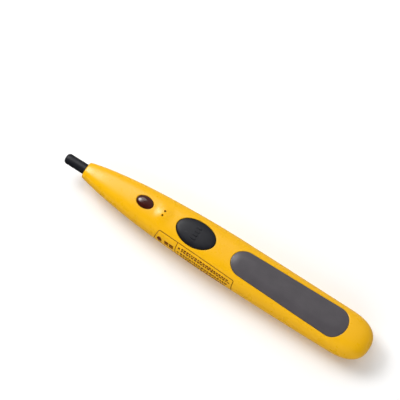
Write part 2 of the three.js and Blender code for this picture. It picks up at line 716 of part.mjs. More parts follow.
const underBoard = BOARD_TOP - BOARD_THICK - HEAD_DEPTH - 0.05;
add("front_screw", makeScrew(FRONT_SCREW_X, backZ(FRONT_SCREW_X) + HEAD_SINK, 7.4), METAL);
add("rear_screw", makeScrew(REAR_SCREW_X, backZ(REAR_SCREW_X) + HEAD_SINK, 11), METAL);
add("board_screw", makeScrew(BOARD_SCREW_X, underBoard, 6, 1.8), METAL);

export default tester;
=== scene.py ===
import json
import math
import random

import bmesh
import bpy
import numpy as np
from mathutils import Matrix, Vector


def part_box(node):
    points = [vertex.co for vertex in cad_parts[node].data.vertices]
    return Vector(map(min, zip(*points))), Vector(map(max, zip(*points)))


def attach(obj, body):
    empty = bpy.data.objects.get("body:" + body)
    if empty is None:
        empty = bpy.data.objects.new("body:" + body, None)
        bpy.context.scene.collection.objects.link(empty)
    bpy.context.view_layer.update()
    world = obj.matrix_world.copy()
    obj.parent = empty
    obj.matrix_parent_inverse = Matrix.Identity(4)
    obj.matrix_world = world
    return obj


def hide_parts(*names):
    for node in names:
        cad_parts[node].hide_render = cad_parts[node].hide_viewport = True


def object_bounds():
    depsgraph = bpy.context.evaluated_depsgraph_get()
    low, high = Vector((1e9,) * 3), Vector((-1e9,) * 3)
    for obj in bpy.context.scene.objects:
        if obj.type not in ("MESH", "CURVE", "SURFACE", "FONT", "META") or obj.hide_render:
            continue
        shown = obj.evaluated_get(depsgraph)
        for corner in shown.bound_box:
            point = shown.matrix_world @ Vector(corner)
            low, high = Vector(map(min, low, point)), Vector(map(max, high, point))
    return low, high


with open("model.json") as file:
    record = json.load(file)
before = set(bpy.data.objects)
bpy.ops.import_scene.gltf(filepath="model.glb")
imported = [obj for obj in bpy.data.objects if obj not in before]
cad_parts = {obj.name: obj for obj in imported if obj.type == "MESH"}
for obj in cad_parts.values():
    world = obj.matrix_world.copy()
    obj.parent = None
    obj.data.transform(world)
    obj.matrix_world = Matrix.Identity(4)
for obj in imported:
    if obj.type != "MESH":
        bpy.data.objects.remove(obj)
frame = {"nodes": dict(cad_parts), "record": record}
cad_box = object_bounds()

MM = 0.001
NODES = frame["nodes"]


# ---------------------------------------------------------------- camera
AIM = Vector((-16.92, 14.76, 9.5)) * MM
CAMERA_AZIMUTH = math.radians(33.4)
CAMERA_ELEVATION = math.radians(70)
CAMERA_DISTANCE = 0.615  # metres
CAMERA_LENS = 135  # millimetres


def direction(azimuth, elevation):
    """The way from the object towards a viewer, with azimuth 0 on the -Y side."""
    flat = math.cos(elevation)
    return Vector((math.sin(azimuth) * flat, -math.cos(azimuth) * flat, math.sin(elevation)))


def make_camera():
    data = bpy.data.cameras.new("camera")
    data.lens = CAMERA_LENS
    data.clip_start = 10 * MM
    camera = bpy.data.objects.new("camera", data)
    towards = direction(CAMERA_AZIMUTH, CAMERA_ELEVATION)
    camera.location = AIM + towards * CAMERA_DISTANCE
    camera.rotation_euler = (-towards).to_track_quat("-Z", "Y").to_euler()
    bpy.context.scene.collection.objects.link(camera)
    bpy.context.scene.camera = camera


make_camera()


# ---------------------------------------------------------------- places taken from the frame, in mm
def box_mm(node):
    """The lowest and highest corner of a CAD node."""
    low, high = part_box(node)
    return np.array(low) / MM, np.array(high) / MM


def middle_x(node):
    low, high = box_mm(node)
    return (low[0] + high[0]) / 2


NOSE_X = box_mm("housing")[0][0]
TIP_X = box_mm("probe_sleeve")[0][0]
TAIL_X = -TIP_X  # the tester lies centred on the origin
LED_X = middle_x("led_lens")
BUZZER_X = middle_x("buzzer")
BUTTON_X = middle_x("test_button")
PAD_FRONT = box_mm("grip_pad")[0][0]
PAD_END = box_mm("grip_pad")[1][0]
SCREWS_X = [middle_x("front_screw"), middle_x("rear_screw")]

AXIS_Z = 9.5  # height of the probe's axis
WALL = 1.5
NOSE_WALL = 5
COVER_X = NOSE_X + 9  # front end of the rear cover
DOOR_X = 13  # front end of the battery cover
PROBE_RADIUS = 2.3
LENS_SIZE = (3.85, 2.6)
BUTTON_SIZE = (8.8, 5.55)
SOUND_HOLES = (-1.02, 1.02)  # y of each
MOUND_RADIUS = (4.6, 5.6)  # along X and Y
MOUND_HEIGHT = 0.72
PAD_NOSE = 5.9  # length of the pad's rounded ends

SQUARENESS = 2.6  # 2 would make the sections elliptic
BELLY = 0.5  # how far the round of a section would go on below the flat back
NOSE_TOP_Z = 12.8
NOSE_BOTTOM_Z = 6.2
NOSE_RADIUS = 0.45
NOSE_LEAN = 1.0  # how far the top of the nose lies behind its bottom
TAIL_ROUND = 14
TAIL_START = TAIL_X - TAIL_ROUND
TAIL_SQUARENESS = 2.5
TAIL_MID_Z = 7.2

# x, half width, then the heights of the top, the widest line and the flat back
SECTIONS = [
    (NOSE_X, 3.4, NOSE_TOP_Z, AXIS_Z, NOSE_BOTTOM_Z),
    (-61.5, 4.0, 13.3, 9.5, 5.7),
    (-58, 4.7, 13.75, 9.5, 5.15),
    (-52, 5.73, 14.4, 9.5, 4.35),
    (-44, 6.86, 14.95, 9.5, 3.35),
    (-36, 7.75, 15.35, 9.5, 2.4),
    (-26, 8.5, 15.55, 9.5, 1.35),
    (-12, 9.21, 15.6, 9.45, 0.3),
    (-2, 9.54, 15.6, 9.15, 0),
    (10, 9.66, 15.6, 8.6, 0),
    (22, 9.66, 15.35, 8.0, 0),
    (36, 9.6, 14.85, 7.6, 0),
    (50, 9.5, 14.5, 7.4, 0),
    (TAIL_X, 9.2, 14.1, 7.4, 0),
]


# ---------------------------------------------------------------- body shape
def smooth_curve(knots):
    """A monotone cubic through (x, value) knots."""
    xs, values = np.array(knots, float).T
    slope = np.diff(values) / np.diff(xs)
    same_way = slope[:-1] * slope[1:] > 0
    total = np.where(same_way, slope[:-1] + slope[1:], 1)
    inner = np.where(same_way, 2 * slope[:-1] * slope[1:] / total, 0)
    tangent = np.concatenate([slope[:1], inner, slope[-1:]])

    def at(x):
        x = np.asarray(x, float)
        i = np.clip(np.searchsorted(xs, x, side="right") - 1, 0, len(xs) - 2)
        width = xs[i + 1] - xs[i]
        t = np.clip((x - xs[i]) / width, 0, 1)
        step = (values[i + 1] - values[i]) * t * t * (3 - 2 * t)
        return values[i] + step + width * t * (1 - t) * ((1 - t) * tangent[i] - t * tangent[i + 1])

    return at


HALF, TOP, WIDEST, BACK = [smooth_curve([(row[0], row[k]) for row in SECTIONS]) for k in (1, 2, 3, 4)]
SIDE_SEAM = smooth_curve([(COVER_X, 6.3), (-30, 5.7), (0, 4.9), (36, 4), (TAIL_X, 4)])


def tail_shrink(x, offset=0):
    """The section's share of its full size at x: 1 ahead of the round of the tail, 0 at its end."""
    along = np.clip((x - TAIL_START) / (TAIL_ROUND + offset), 0, 1)
    return (1 - along**TAIL_SQUARENESS) ** (1 / TAIL_SQUARENESS)


def body_at(x, offset=0):
    """Half width, top, widest line, back and belly of the section at x, grown by an offset."""
    x = np.asarray(x, float)
    from_nose = np.clip(x - NOSE_X, 0, NOSE_RADIUS)
    rounding = NOSE_RADIUS - np.sqrt(NOSE_RADIUS**2 - (NOSE_RADIUS - from_nose) ** 2)
    grow = offset - rounding
    shrink = tail_shrink(x, offset)

    def towards_mid(z):
        return TAIL_MID_Z + (z - TAIL_MID_Z) * shrink

    return (
        (HALF(x) + grow) * shrink,
        towards_mid(TOP(x) + grow),
        towards_mid(WIDEST(x)),
        towards_mid(BACK(x) - grow),
        BELLY * shrink,
    )


def mound(x, y):
    """Height of the low mound that the sound holes open in."""
    r = np.minimum(np.hypot((x - BUZZER_X) / MOUND_RADIUS[0], y / MOUND_RADIUS[1]), 1)
    return MOUND_HEIGHT * np.cos(r * math.pi / 2) ** 2


def skin_z(x, y, offset=0):
    """Height of the upper skin over (x, y)."""
    half, top, widest, _, _ = body_at(x, offset)
    inside = np.clip(1 - (np.abs(y) / half) ** SQUARENESS, 0, 1)
    return widest + (top - widest) * inside ** (1 / SQUARENESS) + mound(x, y)


def seam_z(x):
    """Height of the line where the rear cover meets the housing."""
    x = np.asarray(x, float)
    side = TAIL_MID_Z + (SIDE_SEAM(x) - TAIL_MID_Z) * tail_shrink(x)
    towards_nose = np.clip((COVER_X - x) / (COVER_X - NOSE_X), 0, 1)
    return side + (AXIS_Z - side) * towards_nose


SAMPLES = 541
SOFTNESS = 0.12  # how gently the sides turn into the flat back
MOUND_FROM = 0.4  # sine of the turn over which the mound is added, so that it stays on top


def section_curves(x, offset=0):
    """(y, z) round the section at each x, from the middle of the back up the +Y side and over."""
    half, top, widest, back, belly = [v[:, None] for v in body_at(x, offset)]
    turn = np.linspace(-math.pi / 2, 1.5 * math.pi, SAMPLES)[None, :]
    c, s = np.cos(turn), np.sin(turn)
    height = np.where(s >= 0, top - widest, widest - back + belly)
    radius = (np.abs(c / half) ** SQUARENESS + np.abs(s / height) ** SQUARENESS) ** (-1 / SQUARENESS)
    y = radius * c
    z = widest + radius * s
    over = z - back
    z = back + (over + np.sqrt(over**2 + SOFTNESS**2 * tail_shrink(x, offset)[:, None] ** 2)) / 2
    return y, z + np.where(s > MOUND_FROM, mound(x[:, None], y), 0)


UPPER_CELLS = 88
LOWER_CELLS = 56
ROUND_CELLS = UPPER_CELLS + LOWER_CELLS
STATION_STEP = 0.5
NOSE_STATIONS = 7
TAIL_STATIONS = 34
LAST_TURN = math.radians(88.6)  # just short of the end, where one flat face closes the tail
CROWDED_END = -50  # the inner rings are crowded together between the nose wall and here
SLACK = 0.01


def body_rings(x, offset=0, seam_x=None):
    """Points (rings, around, 3): column 0 runs along the +Y seam, column UPPER_CELLS along the -Y one."""
    seams = seam_z(x if seam_x is None else seam_x)
    ys, zs = section_curves(x, offset)
    rings = np.zeros((len(x), ROUND_CELLS, 3))
    quarter = SAMPLES // 2
    for i, (y, z) in enumerate(zip(ys, zs)):
        length = np.concatenate([[0], np.cumsum(np.hypot(np.diff(y), np.diff(z)))])
        seam = np.interp(seams[i], z[:quarter], length[:quarter])
        upper = np.linspace(seam, length[-1] - seam, UPPER_CELLS + 1)
        lower = np.linspace(length[-1] - seam, length[-1] + seam, LOWER_CELLS + 1)[1:-1] % length[-1]
        around = np.concatenate([upper, lower])
        rings[i, :, 0] = x[i]
        rings[i, :, 1] = np.interp(around, length, y)
        rings[i, :, 2] = np.interp(around, length, z)
    return rings


def body_stations():
    """x of each ring of the body: close together over the nose's rim and the round of the tail."""
    nose = NOSE_X + NOSE_RADIUS * (1 - np.cos(np.linspace(0, math.pi / 2, NOSE_STATIONS)))
    front_start = math.ceil(nose[-1] / STATION_STEP) * STATION_STEP
    front = np.arange(front_start, COVER_X - SLACK, STATION_STEP)
    straight = np.arange(COVER_X, TAIL_START - SLACK, STATION_STEP)
    turn = np.linspace(0, LAST_TURN, TAIL_STATIONS)
    reach = (np.sin(turn) ** TAIL_SQUARENESS + np.cos(turn) ** TAIL_SQUARENESS) ** (1 / TAIL_SQUARENESS)
    tail = TAIL_START + TAIL_ROUND * np.sin(turn) / reach
    return np.concatenate([nose, front, straight, tail])


def first_covered(stations):
    """The number of the first ring that the rear cover has a part in."""
    return int(np.searchsorted(stations, COVER_X - SLACK))


def inner_stations(x):
    """Where the rings of the inner skin lie: drawn in behind the nose wall and at the tail."""
    inner_nose = NOSE_X + NOSE_WALL
    by_nose = inner_nose + (x - NOSE_X) * (CROWDED_END - inner_nose) / (CROWDED_END - NOSE_X)
    by_tail = TAIL_START + (x - TAIL_START) * (TAIL_ROUND - WALL) / TAIL_ROUND
    return np.where(x < CROWDED_END, by_nose, np.where(x > TAIL_START, by_tail, x))


# ---------------------------------------------------------------- outlines, as closed rings of points
DENSE = 1200  # points of an opening's outline, for the grid round it to choose from
END_POINTS = 90
CORNER_POINTS = 12


def even(points, count):
    """A closed ring of points, spaced evenly along its length."""
    closed = np.vstack([points, points[:1]])
    length = np.concatenate([[0], np.cumsum(np.hypot(*np.diff(closed, axis=0).T))])
    at = np.linspace(0, length[-1], count, endpoint=False)
    return np.stack([np.interp(at, length, closed[:, k]) for k in (0, 1)], 1)


def ellipse(x, y, a, b, count=DENSE):
    """An ellipse about (x, y) with half widths a and b, from its -X end."""
    turn = np.linspace(0, 2 * math.pi, count, endpoint=False) + math.pi
    return even(np.stack([x + a * np.cos(turn), y + b * np.sin(turn)], 1), count)


PAD_HALF = smooth_curve([(PAD_FRONT, 5.15), (20, 5.7), (32, 6.2), (PAD_END, 6.5)])


def pad_outline(gap, count=DENSE):
    """The grip pad's outline, grown by a gap, from the middle of its front end round by the -Y side."""
    turn = np.linspace(0, math.pi / 2, END_POINTS)

    def half(x):
        return PAD_HALF(x) + gap

    front = PAD_FRONT - gap + PAD_NOSE * (1 - np.cos(turn))
    end = PAD_END + gap - PAD_NOSE * (1 - np.sin(turn))
    near = np.concatenate([
        np.stack([front, -half(front) * np.sin(turn)], 1),
        np.stack([end, -half(end) * np.cos(turn)], 1),
    ])
    far = near[::-1] * (1, -1)
    return even(np.vstack([near, far[1:-1]]), count)


def rounded_box(x0, x1, y0, y1, radius, count):
    """A rectangle with round corners, from its -X side."""
    corners = [(x0, y0, 180), (x1, y0, 270), (x1, y1, 0), (x0, y1, 90)]
    points = []
    for x, y, start in corners:
        cx = x + radius if x == x0 else x - radius
        cy = y + radius if y == y0 else y - radius
        for turn in np.radians(np.linspace(start, start + 90, CORNER_POINTS)):
            points.append((cx + radius * math.cos(turn), cy + radius * math.sin(turn)))
    return even(np.array(points), count)


def on_skin(xy, height=0.0, offset=0):
    """Points over (x, y) at a height above the upper skin."""
    return np.column_stack([xy, skin_z(xy[:, 0], xy[:, 1], offset) + height])


# ---------------------------------------------------------------- mesh building
SMOOTH_ANGLE = 35
SPREAD_PASSES = 30


class Net:
    """Points and faces collected in millimetres, then turned into one object in metres."""

    def __init__(self):
        self.points = []
        self.faces = []

    def add(self, points):
        """Adds points and returns their numbers."""
        start = len(self.points)
        self.points.extend(tuple(p) for p in points)
        return list(range(start, start + len(points)))

    def cap(self, ring):
        self.faces.append(tuple(ring))

    def band(self, a, b, closed=True):
        count = len(a)
        for k in range(count if closed else count - 1):
            n = (k + 1) % count
            self.faces.append((a[k], a[n], b[n], b[k]))

    def draw_out(self, last, rings):
        """Bands from a ring through new rings of points. Returns the last ring's numbers."""
        for points in rings:
            ring = self.add(points)
            self.band(last, ring)
            last = ring
        return last

    def stack(self, rings):
        """Adds rings of points with bands between them, and returns the numbers of the two end rings."""
        first = self.add(rings[0])
        return first, self.draw_out(first, rings[1:])

    def zip_up(self, ring):
        """Closes a thin ring, symmetric about its first point, by strips across it."""
        half = len(ring) // 2
        self.faces.append((ring[-1], ring[0], ring[1]))
        for k in range(1, half - 1):
            self.faces.append((ring[-k], ring[k], ring[k + 1], ring[-k - 1]))
        self.faces.append((ring[half - 1], ring[half], ring[half + 1]))

    def fan(self, ring, point):
        centre = self.add([point])[0]
        for k, a in enumerate(ring):
            self.faces.append((a, ring[(k + 1) % len(ring)], centre))

    def make(self, name, smooth_angle=SMOOTH_ANGLE):
        mesh = bpy.data.meshes.new(name)
        mesh.from_pydata([tuple(c * MM for c in p) for p in self.points], [], self.faces)
        solid = bmesh.new()
        solid.from_mesh(mesh)
        bmesh.ops.delete(solid, geom=[v for v in solid.verts if not v.link_faces], context="VERTS")
        bmesh.ops.remove_doubles(solid, verts=solid.verts, dist=1e-7)
        bmesh.ops.recalc_face_normals(solid, faces=solid.faces)
        solid.to_mesh(mesh)
        solid.free()
        return finish_mesh(mesh, name, smooth_angle)


def finish_mesh(mesh, name, smooth_angle=SMOOTH_ANGLE):
    """A piece from a mesh, shaded smooth but for edges over an angle in degrees, or all over for None."""
    mesh.shade_smooth()
    if smooth_angle is not None:
        mesh.set_sharp_from_angle(angle=math.radians(smooth_angle))
    piece = bpy.data.objects.new(name, mesh)
    bpy.context.scene.collection.objects.link(piece)
    return piece


def matched(loop, ring):
    """Which points of a dense ring a loop of boundary points joins: the nearest, then spread evenly."""
    apart = np.hypot(*(loop[:, None, :] - ring[None, :, :]).transpose(2, 0, 1))
    nearest = apart.argmin(1).astype(float)
    count = len(ring)
    steps = (np.diff(np.append(nearest, nearest[0])) + count / 2) % count - count / 2
    at = nearest[0] + np.concatenate([[0], np.cumsum(steps[:-1])])
    for _ in range(SPREAD_PASSES):
        before = np.roll(at, 1)
        after = np.roll(at, -1)
        before[0] -= count
        after[-1] += count
        at = (at * 2 + before + after) / 4
    return np.round(at).astype(int) % count


def rounded_rim(radius, steps=5):
    """(gap, depth) pairs from the skin over a rounded edge to the wall of a hole."""
    turns = np.linspace(0, math.pi / 2, steps)
    return [(radius * (1 - math.sin(t)), radius * (1 - math.cos(t))) for t in turns]


# ---------------------------------------------------------------- housing
RIM = 0.18
LENS_GAP = 0.08
BUTTON_GAP = 0.2
PAD_GAP = 0.1
HOLE_RADIUS = 0.45
HOLE_RIM = 0.07
HOLE_WALL = 0.7
HOLE_DENSE = 240
HOLE_PATCH_X = 0.8  # how far the cells replaced round a sound hole reach from its middle along X
HOLE_PATCH_IN = 0.85  # the same towards the other hole
HOLE_PATCH_OUT = 1.0  # the same away from it
BORE_GAP = 0.12
SEAM_ROUND = 0.1
SEAM_HALF_GAP = 0.06
FIRST_SPREAD = (0.3, 0.55, 0.78)  # shares of the way from a block's loop to the opening's edge


def oval(x, size, clearance):
    """The outline, by gap, of the opening for an oval piece."""

    def outline(gap):
        return ellipse(x, 0, size[0] + clearance + gap, size[1] + clearance + gap)

    return outline


def sound_hole(y):
    """The outline, by gap, of the sound hole at y."""

    def outline(gap):
        return ellipse(BUZZER_X, y, HOLE_RADIUS + gap, HOLE_RADIUS + gap, HOLE_DENSE)

    return outline


def pad_opening(gap):
    return pad_outline(gap + PAD_GAP)


def cells_round(stations, rings, outline, margin):
    """The block of grid cells that covers an opening with a margin: first and last ring, then column."""
    edge = outline(0)
    low, high = edge[:, 0].min() - margin, edge[:, 0].max() + margin
    reach = np.abs(edge[:, 1]).max() + margin
    centre = int(np.searchsorted(stations, (low + high) / 2))
    y = rings[centre][: UPPER_CELLS + 1, 1]
    column = int(np.searchsorted(-y, -reach)) - 1
    first, last = np.searchsorted(stations, (low, high))
    return int(first) - 1, int(last), column, UPPER_CELLS - column


def cells_round_hole(stations, rings, y):
    """The block of grid cells that covers a sound hole at y and stops short of the other one."""
    first, last = np.searchsorted(stations, (BUZZER_X - HOLE_PATCH_X, BUZZER_X + HOLE_PATCH_X))
    columns = rings[first - 1][: UPPER_CELLS + 1, 1]
    side = np.sign(y)
    low, high = sorted((y - side * HOLE_PATCH_IN, y + side * HOLE_PATCH_OUT))
    nearest = [int(np.argmin(np.abs(columns - edge))) for edge in (high, low)]
    return int(first) - 1, int(last), *nearest


def openings(stations, rings):
    """The openings in the top: outline by gap, the block of grid cells replaced, and the rim's radius."""
    found = []
    for outline, margin in (
        (oval(LED_X, LENS_SIZE, LENS_GAP), 0.7),
        (oval(BUTTON_X, BUTTON_SIZE, BUTTON_GAP), 0.8),
        (pad_opening, 0.8),
    ):
        found.append((outline, cells_round(stations, rings, outline, margin), RIM))
    for y in SOUND_HOLES:
        found.append((sound_hole(y), cells_round_hole(stations, rings, y), HOLE_RIM))
    return found


def block_loop(grid, block):
    """The vertex numbers round a block of cells, anticlockwise from above."""
    i0, i1, j0, j1 = block
    return (
        [grid[i][j1] for i in range(i0, i1)]
        + [grid[i1][j] for j in range(j1, j0, -1)]
        + [grid[i][j0] for i in range(i1, i0, -1)]
        + [grid[i0][j] for j in range(j0, j1)]
    )


def patch(net, loop, outline, steps, offset):
    """Bands from a block's loop to an opening's edge, lying on the skin. Returns the last ring."""
    flat = np.array([net.points[v][:2] for v in loop])
    edge = outline(steps[0][0])
    at = matched(flat, edge)
    rings = [on_skin(flat + (edge[at] - flat) * share, 0, offset) for share in FIRST_SPREAD]
    rings += [on_skin(outline(gap)[at], -depth, offset) for gap, depth in steps]
    return net.draw_out(loop, rings)


def grid_faces(net, grid, rows, columns, blocks=()):
    """The grid's faces over the given cells, but for those in a block."""
    for i in rows:
        for j in columns:
            if any(i0 <= i < i1 and j0 <= j < j1 for i0, i1, j0, j1 in blocks):
                continue
            n = (j + 1) % ROUND_CELLS
            net.faces.append((grid[i][j], grid[i][n], grid[i + 1][n], grid[i + 1][j]))


def seam_rim(net, outer, inner, away):
    """A small rounded edge along a parting line. away holds each vertex's way out of the seam."""
    start = np.array([net.points[v] for v in outer])
    depth = np.array([net.points[v] for v in inner]) - start
    depth /= np.linalg.norm(depth, axis=1)[:, None]
    for v, p, a in zip(outer, start, away):
        net.points[v] = tuple(p + a * (SEAM_HALF_GAP + SEAM_ROUND))
    for v, a in zip(inner, away):
        net.points[v] = tuple(np.array(net.points[v]) + a * SEAM_HALF_GAP)
    rings = []
    for turn in np.radians([30, 60, 90]):
        slide = SEAM_HALF_GAP + SEAM_ROUND * (1 - math.sin(turn))
        rings.append(start + away * slide + depth * SEAM_ROUND * (1 - math.cos(turn)))
    net.band(net.draw_out(outer, rings), inner)


def parting(stations, upper):
    """The parting line's loop of (ring, column), and each vertex's way into the upper or lower piece."""
    first = first_covered(stations)
    along = range(first, len(stations))
    front = [(first, j) for j in range(UPPER_CELLS + 1, ROUND_CELLS)]
    sides = [(i, 0) for i in along] + [(i, UPPER_CELLS) for i in reversed(along)]
    away = [(-1, 0, 0)] * len(front)
    away += [(-0.7, 0, 0.7) if i == first else (0, 0, 1) for i, _ in sides]
    return front + sides, np.array(away, float) * (1 if upper else -1)


def nose_lean(z):
    """How far back the nose's front face lies at a height."""
    return NOSE_LEAN * np.clip((z - NOSE_BOTTOM_Z) / (NOSE_TOP_Z - NOSE_BOTTOM_Z), 0, 1)


def make_housing():
    net = Net()
    x = body_stations()
    outer_rings = body_rings(x)
    towards_nose = np.clip((COVER_X - x) / (COVER_X - NOSE_X), 0, 1)[:, None]
    outer_rings[:, :, 0] += nose_lean(outer_rings[:, :, 2]) * towards_nose
    outer = [net.add(ring) for ring in outer_rings]
    inner = [net.add(ring) for ring in body_rings(inner_stations(x), -WALL, x)]
    holes = openings(x, outer_rings)
    blocks = [block for _, block, _ in holes]
    first = first_covered(x)
    for grid in (outer, inner):
        grid_faces(net, grid, range(first), range(ROUND_CELLS), blocks)
        grid_faces(net, grid, range(first, len(x) - 1), range(UPPER_CELLS), blocks)
        net.cap(grid[-1][: UPPER_CELLS + 1])
    for outline, block, radius in holes:
        rim = patch(net, block_loop(outer, block), outline, rounded_rim(radius) + [(0, HOLE_WALL)], 0)
        wall = patch(net, block_loop(inner, block), outline, [(0, 0)], -WALL)
        net.band(rim, wall)
    loop, away = parting(x, True)
    seam_rim(net, [outer[i][j] for i, j in loop], [inner[i][j] for i, j in loop], away)
    net.band(bore(net, outer[0]), inner[0])
    return net.make("housing_shell")


def bore(net, front):
    """Bands from the front ring through the hole for the probe. Returns the last ring."""
    points = np.array([net.points[v] for v in front])
    turn = np.arctan2(points[:, 2] - AXIS_Z, points[:, 1])
    inside = PROBE_RADIUS + BORE_GAP
    rings = []
    for out, ahead in rounded_rim(BORE_GAP, 3) + [(0, NOSE_WALL)]:
        y = (inside + out) * np.cos(turn)
        z = AXIS_Z + (inside + out) * np.sin(turn)
        rings.append(np.stack([NOSE_X + ahead + nose_lean(z), y, z], 1))
    return net.draw_out(front, rings)


# ---------------------------------------------------------------- rear cover and battery cover
DOOR_HALF = 6
DOOR_THICK = 1.9
DOOR_GAP = 0.15
RAIL_IN = 4.8
RAIL_OUT = 6.6
RAIL_TOP = 2.5
RAIL_LEAD = 1.2  # how far the rails reach ahead of the leaf
RAIL_ROOT = 0.05  # how far they reach down into it
HEAD_RADIUS = 1.9
HEAD_GAP = 0.15
HEAD_DEEP = 3
CHAMFER = 0.2
DRUM_POINTS = 48
LABEL = (-34, -6)  # along X
LABEL_HALF = 4.6
LABEL_DEEP = 0.3
GROOVE_COUNT = 6
FIRST_GROOVE = 5
GROOVE_PITCH = 1.9
GROOVE_WIDTH = 0.9
GROOVE_HALF = 4.2
GROOVE_DEEP = 0.4
ARROW = (33, 37.5)  # along X
ARROW_HALF = 2.4
ARROW_DEEP = 0.3
FAR = TAIL_X + 4  # where tools end, past the tail
UNDER = -1  # where tools start, below the back


def prism(sections):
    """A solid through rings of equal count, each an array of points."""
    net = Net()
    for end in net.stack(sections):
        net.cap(end)
    return net.make("tool", None)


def frustum(x0, x1, half, z0, z1, flare=0.0):
    """An upright block, drawn out by a flare at its bottom on all sides but the rear."""

    def ring(z, flare):
        front, side = x0 - flare, half + flare
        return [(front, -side, z), (x1, -side, z), (x1, side, z), (front, side, z)]

    return prism([ring(z0, flare), ring(z1, 0)])


def carve(piece, operation, tools, name):
    """The piece joined with, cut by or kept within the tools, as a new piece. All of them are used up."""
    for tool in tools:
        change = piece.modifiers.new("carve", "BOOLEAN")
        change.operation = operation
        change.solver = "EXACT"
        change.object = tool
    depsgraph = bpy.context.evaluated_depsgraph_get()
    mesh = bpy.data.meshes.new_from_object(piece.evaluated_get(depsgraph))
    mesh.name = name
    for used in (piece, *tools):
        bpy.data.objects.remove(used)
    return finish_mesh(mesh, name)


def door_form(gap):
    """The battery cover's leaf and its two rails, grown by a gap, as separate tools."""
    tools = [frustum(DOOR_X - gap, FAR, DOOR_HALF + gap, UNDER, DOOR_THICK + gap / 3)]
    low, high = DOOR_THICK - RAIL_ROOT - gap, RAIL_TOP + gap
    for side in (-1, 1):
        inner, outer = side * (RAIL_IN - gap), side * (RAIL_OUT + gap)
        ring = [(inner, low), (outer, low), (outer, high), (inner, high)]
        tools.append(prism([[(x, y, z) for y, z in ring] for x in (DOOR_X - RAIL_LEAD - gap, FAR)]))
    return tools


def drum(x, radius, z0, z1, flare=0.0):
    """An upright column, drawn out at its lower end by a flare."""
    turn = np.linspace(0, 2 * math.pi, DRUM_POINTS, endpoint=False)

    def ring(r, z):
        return np.stack([x + r * np.cos(turn), r * np.sin(turn), np.full(DRUM_POINTS, z)], 1)

    return prism([ring(radius + flare, z0), ring(radius + flare, z0 + 0.001), ring(radius, z1)])


def label_bed():
    """A shallow bed for a rating label, cut to an even depth in the curved back."""
    slices = []
    for x in np.linspace(*LABEL, 29):
        low, high = float(BACK(x)) + UNDER, float(BACK(x)) + LABEL_DEEP
        corners = ((-LABEL_HALF, low), (LABEL_HALF, low), (LABEL_HALF, high), (-LABEL_HALF, high))
        slices.append([(x, y, z) for y, z in corners])
    return prism(slices)


def make_rear_cover():
    net = Net()
    x = body_stations()
    outer = [net.add(ring) for ring in body_rings(x)]
    inner = [net.add(ring) for ring in body_rings(inner_stations(x), -WALL, x)]
    first = first_covered(x)
    for grid in (outer, inner):
        grid_faces(net, grid, range(first, len(x) - 1), range(UPPER_CELLS, ROUND_CELLS))
        net.cap(grid[-1][UPPER_CELLS:] + grid[-1][:1])
    loop, away = parting(x, False)
    seam_rim(net, [outer[i][j] for i, j in loop], [inner[i][j] for i, j in loop], away)
    shell = net.make("rear_cover_shell")

    tools = door_form(DOOR_GAP)
    tools.append(frustum(DOOR_X - DOOR_GAP, FAR, DOOR_HALF + DOOR_GAP, -2 * SLACK, CHAMFER, CHAMFER))
    for at in SCREWS_X:
        under = float(BACK(at))
        tools.append(drum(at, HEAD_RADIUS + HEAD_GAP, under + UNDER, under + HEAD_DEEP))
        tools.append(drum(at, HEAD_RADIUS + HEAD_GAP, under - SLACK, under + CHAMFER, CHAMFER))
    tools.append(label_bed())
    return carve(shell, "DIFFERENCE", tools, "rear_cover_shell")


def make_battery_cover():
    net = Net()
    x = body_stations()
    rings = [net.add(ring) for ring in body_rings(x)]
    grid_faces(net, rings, range(len(x) - 1), range(ROUND_CELLS))
    net.cap(rings[0])
    net.cap(rings[-1])
    blank = net.make("battery_cover_panel")
    leaf, *rails = door_form(0)
    form = carve(leaf, "UNION", rails, "door_form")
    panel = carve(blank, "INTERSECT", [form], "battery_cover_panel")
    return carve(panel, "DIFFERENCE", [*grooves(), arrow()], "battery_cover_panel")


def grooves():
    """Cutters for the grooves that a thumb pushes against, drawn in a little at their bottoms."""
    tools = []
    for k in range(GROOVE_COUNT):
        at = DOOR_X + FIRST_GROOVE + GROOVE_PITCH * k
        radius = GROOVE_WIDTH / 2 - SLACK
        outline = rounded_box(at, at + GROOVE_WIDTH, -GROOVE_HALF, GROOVE_HALF, radius, 60)
        levels = ((1, UNDER), (1, 0.05), (0.985, GROOVE_DEEP))
        tools.append(prism([[(px, py * wide, z) for px, py in outline] for wide, z in levels]))
    return tools


def arrow():
    """A cutter for the arrow that shows which way the battery cover slides."""
    outline = [(ARROW[0], -ARROW_HALF), (ARROW[1], 0), (ARROW[0], ARROW_HALF)]
    return prism([[(px, py, z) for px, py in outline] for z in (UNDER, ARROW_DEEP)])


# ---------------------------------------------------------------- pieces in the top
FLANGE_Z = (-3.2, -2.7)  # of the flanges that hold the button and the lens, from the skin
LENS_DOME = (-0.2, 1.2, 2.1)  # height of the edge, rise and squareness
BUTTON_DOME = (-0.25, 0.95, 3.2)
CAP_POINTS = 112
MARKS_Y = (-2.46, -0.82, 0.82, 2.46)
MARK_LENGTH = 2.4
MARK_WIDTH = 0.9
MARK_HEIGHT = 0.3
PAD_RIM = 0.28  # width of the pad's rounded edge
PAD_PROUD = 0.2
PAD_CROWN = 0.5
PAD_CROWN_IN = 3.6  # how far in from the edge the crown rises
PAD_POINTS = 260
TIP_ROUND = 1.3
FLANGE_RADIUS = 2.6
FLANGE_X = (-58.8, -57.5)
PROBE_POINTS = 80


def dome_height(share, edge, rise, power):
    """Height of a dome at a share of its radius."""
    return edge + rise * (1 - share**power) ** (1 / power)


def dome_shares(power):
    """Where a dome's rings lie: by even turns over its steep edge, then by even steps."""
    turns = np.linspace(0, math.pi / 2, 18, endpoint=False)
    steep = [share for share in np.cos(turns) ** (2 / power) if share > 0.5]
    return [*steep, *np.arange(0.44, 0.05, -0.06)]


